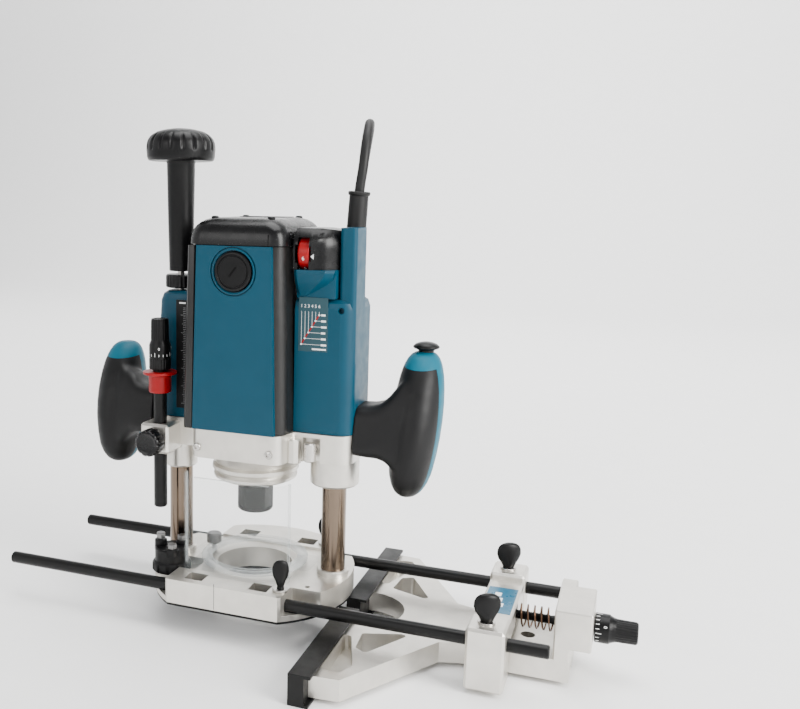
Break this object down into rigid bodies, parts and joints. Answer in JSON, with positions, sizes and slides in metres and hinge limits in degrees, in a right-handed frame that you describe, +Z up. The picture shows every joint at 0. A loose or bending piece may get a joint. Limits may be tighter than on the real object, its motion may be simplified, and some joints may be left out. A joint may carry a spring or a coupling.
{
  "type": "plunge router",
  "caption": "Plunge router with twin side handles, depth stop turret, clear chip shield and an adjustable edge guide on two rods",
  "frame": {"origin": "middle of the object on the plane it stands on, which is the underside of the edge guide", "axes": "+Z up along the spindle, +X along the guide rods towards the edge guide, -Y towards the side with the depth stop"},
  "size_m": [0.516, 0.3116, 0.4179],
  "materials": {
    "cast_aluminium": "fine blasted casting with machined faces",
    "steel": "ground and polished",
    "dark_steel": "blackened",
    "teal_plastic": "satin moulded",
    "black_plastic": "satin moulded",
    "soft_grip": "soft matt",
    "black_steel": "black oxide",
    "red_plastic": "satin",
    "clear_plastic": "clear polished",
    "copper": "wound and lacquered",
    "spring_steel": "yellow passivated",
    "rubber": "matt"
  },
  "bodies": {
    "base": {"base_casting": "cast_aluminium", "base_sole": "black_plastic", "left_column": "steel", "right_column": "steel", "threaded_rod": "steel", "left_column_spring": "dark_steel", "right_column_spring": "dark_steel", "chip_deflector": "clear_plastic", "power_cord": "rubber", "cord_coil": "rubber", "mains_plug": "rubber"},
    "shield_screw": {"deflector_screw": "dark_steel"},
    "turret": {"stop_turret": "black_plastic"},
    "turret_bolt_1": {"stop_bolt_1": "dark_steel"},
    "turret_bolt_2": {"stop_bolt_2": "dark_steel"},
    "turret_bolt_3": {"stop_bolt_3": "dark_steel"},
    "front_clamp": {"rod_clamp_front": "black_plastic"},
    "rear_clamp": {"rod_clamp_rear": "black_plastic"},
    "top_knob": {"height_knob": "black_plastic"},
    "stop_nut": {"upper_stop_nut": "black_plastic"},
    "motor": {"bearing_bracket": "cast_aluminium", "motor_housing": "black_plastic", "front_cover": "teal_plastic", "rear_cover": "teal_plastic", "top_cover": "black_plastic", "brush_cap_front": "black_plastic", "brush_cap_rear": "black_plastic", "left_shell": "teal_plastic", "right_shell": "teal_plastic", "depth_scale": "black_plastic", "dial_housing": "black_plastic", "field_coil": "copper", "left_handle": "soft_grip", "left_handle_shell": "teal_plastic", "right_handle": "soft_grip", "right_handle_shell": "teal_plastic", "cord_guard": "rubber"},
    "spindle": {"armature": "copper", "cooling_fan": "black_plastic", "collet_nut": "dark_steel", "collet_cone": "steel"},
    "speed_wheel": {"speed_dial": "red_plastic"},
    "trigger": {"switch_trigger": "black_plastic"},
    "lock_on": {"lock_button": "black_plastic"},
    "lock_lever": {"plunge_lock_lever": "black_plastic"},
    "spindle_lock": {"shaft_lock": "steel"},
    "pole": {"stop_pole": "black_steel"},
    "pointer": {"depth_pointer": "red_plastic"},
    "fine_knob": {"fine_adjust_knob": "black_plastic"},
    "pole_clamp": {"stop_pole_nut": "black_plastic"},
    "carriage": {"guide_rod_front": "black_steel", "guide_rod_rear": "black_steel", "guide_holder": "cast_aluminium", "adjuster_spring": "spring_steel"},
    "holder_clamp_front": {"holder_screw_front": "black_plastic"},
    "holder_clamp_rear": {"holder_screw_rear": "black_plastic"},
    "guide": {"guide_plate": "cast_aluminium"},
    "guide_dial": {"micro_adjuster": "black_plastic"},
    "front_fence": {"fence_front": "black_plastic"},
    "rear_fence": {"fence_rear": "black_plastic"}
  },
  "joints": [
    {"name": "plunge", "type": "slide", "parent": "base", "child": "motor", "axis": [0, 0, -1], "range_m": [0, 0.07], "stiffness_N_per_m": 600, "springref_m": -0.12, "deforming": ["left_column_spring", "right_column_spring", "power_cord"]},
    {"name": "spindle_turn", "type": "hinge", "parent": "motor", "child": "spindle", "pos_m": [-0.05, 0.003, 0.107], "axis": [0, 0, 1], "continuous": true},
    {"name": "speed_wheel_turn", "type": "hinge", "parent": "motor", "child": "speed_wheel", "pos_m": [0.0012, -0.0185, 0.3105], "axis": [1, 0, 0], "range_deg": [-140, 140]},
    {"name": "trigger_squeeze", "type": "hinge", "parent": "motor", "child": "trigger", "pos_m": [0.084, 0.036, 0.206], "axis": [-1, 0, 0], "range_deg": [0, 6], "stiffness_Nm_per_rad": 0.6, "springref_deg": -8.59},
    {"name": "lock_on_press", "type": "slide", "parent": "motor", "child": "lock_on", "axis": [0, 0, -1], "range_m": [0, 0.0035], "stiffness_N_per_m": 250, "springref_m": -0.004},
    {"name": "plunge_lock_turn", "type": "hinge", "parent": "motor", "child": "lock_lever", "pos_m": [-0.134, 0.037, 0.157], "axis": [0, 1, 0], "range_deg": [-15, 20]},
    {"name": "spindle_lock_press", "type": "slide", "parent": "motor", "child": "spindle_lock", "axis": [0, 1, 0], "range_m": [0, 0.004], "stiffness_N_per_m": 350, "springref_m": -0.004},
    {"name": "stop_pole_lift", "type": "slide", "parent": "motor", "child": "pole", "axis": [0, 0, 1], "range_m": [0, 0.048]},
    {"name": "pointer_set", "type": "slide", "parent": "pole", "child": "pointer", "axis": [0, 0, 1], "range_m": [-0.012, 0.0015]},
    {"name": "fine_knob_turn", "type": "hinge", "parent": "pole", "child": "fine_knob", "pos_m": [-0.1236, -0.029, 0.2115], "axis": [0, 0, 1], "continuous": true},
    {"name": "pole_clamp_turn", "type": "hinge", "parent": "motor", "child": "pole_clamp", "pos_m": [-0.1236, -0.0405, 0.1528], "axis": [0, 1, 0], "continuous": true},
    {"name": "height_knob_turn", "type": "hinge", "parent": "base", "child": "top_knob", "pos_m": [-0.12, 0.003, 0.291], "axis": [0, 0, 1], "continuous": true},
    {"name": "stop_nut_turn", "type": "hinge", "parent": "base", "child": "stop_nut", "pos_m": [-0.12, 0.003, 0.277], "axis": [0, 0, 1], "continuous": true},
    {"name": "front_clamp_turn", "type": "hinge", "parent": "base", "child": "front_clamp", "pos_m": [-0.004, -0.053, 0.0413], "axis": [0, 0, 1], "continuous": true},
    {"name": "rear_clamp_turn", "type": "hinge", "parent": "base", "child": "rear_clamp", "pos_m": [-0.004, 0.059, 0.0413], "axis": [0, 0, 1], "continuous": true},
    {"name": "shield_screw_turn", "type": "hinge", "parent": "base", "child": "shield_screw", "pos_m": [-0.0935, 0.014, 0.051], "axis": [0, 0, 1], "continuous": true},
    {"name": "turret_index", "type": "hinge", "parent": "base", "child": "turret", "pos_m": [-0.1133, -0.029, 0.0395], "axis": [0, 0, 1], "continuous": true},
    {"name": "stop_bolt_1_turn", "type": "hinge", "parent": "turret", "child": "turret_bolt_1", "pos_m": [-0.1236, -0.029, 0.0395], "axis": [0, 0, 1], "continuous": true},
    {"name": "stop_bolt_2_turn", "type": "hinge", "parent": "turret", "child": "turret_bolt_2", "pos_m": [-0.10815, -0.02008, 0.0395], "axis": [0, 0, 1], "continuous": true},
    {"name": "stop_bolt_3_turn", "type": "hinge", "parent": "turret", "child": "turret_bolt_3", "pos_m": [-0.10815, -0.03792, 0.0395], "axis": [0, 0, 1], "continuous": true},
    {"name": "guide_slide", "type": "slide", "parent": "base", "child": "carriage", "axis": [1, 0, 0], "range_m": [-0.03, 0.1]},
    {"name": "holder_clamp_front_turn", "type": "hinge", "parent": "carriage", "child": "holder_clamp_front", "pos_m": [0.1565, -0.053, 0.0412], "axis": [0, 0, 1], "continuous": true},
    {"name": "holder_clamp_rear_turn", "type": "hinge", "parent": "carriage", "child": "holder_clamp_rear", "pos_m": [0.1565, 0.059, 0.0412], "axis": [0, 0, 1], "continuous": true},
    {"name": "guide_feed", "type": "slide", "parent": "carriage", "child": "guide", "axis": [1, 0, 0], "range_m": [-0.002, 0.002]},
    {"name": "guide_dial_turn", "type": "hinge", "parent": "guide", "child": "guide_dial", "pos_m": [0.2275, 0.003, 0.036], "axis": [1, 0, 0], "range_deg": [-720, 720]},
    {"name": "front_fence_slide", "type": "slide", "parent": "guide", "child": "front_fence", "axis": [0, 1, 0], "range_m": [-0.03, 0.008]},
    {"name": "rear_fence_slide", "type": "slide", "parent": "guide", "child": "rear_fence", "axis": [0, 1, 0], "range_m": [-0.003, 0.03]}
  ],
  "couplings": [
    {"joint": "stop_pole_lift", "follows": "plunge", "ratio": 0.68},
    {"joint": "guide_dial_turn", "follows": "guide_feed", "rad_per_m": 6283.2}
  ]
}
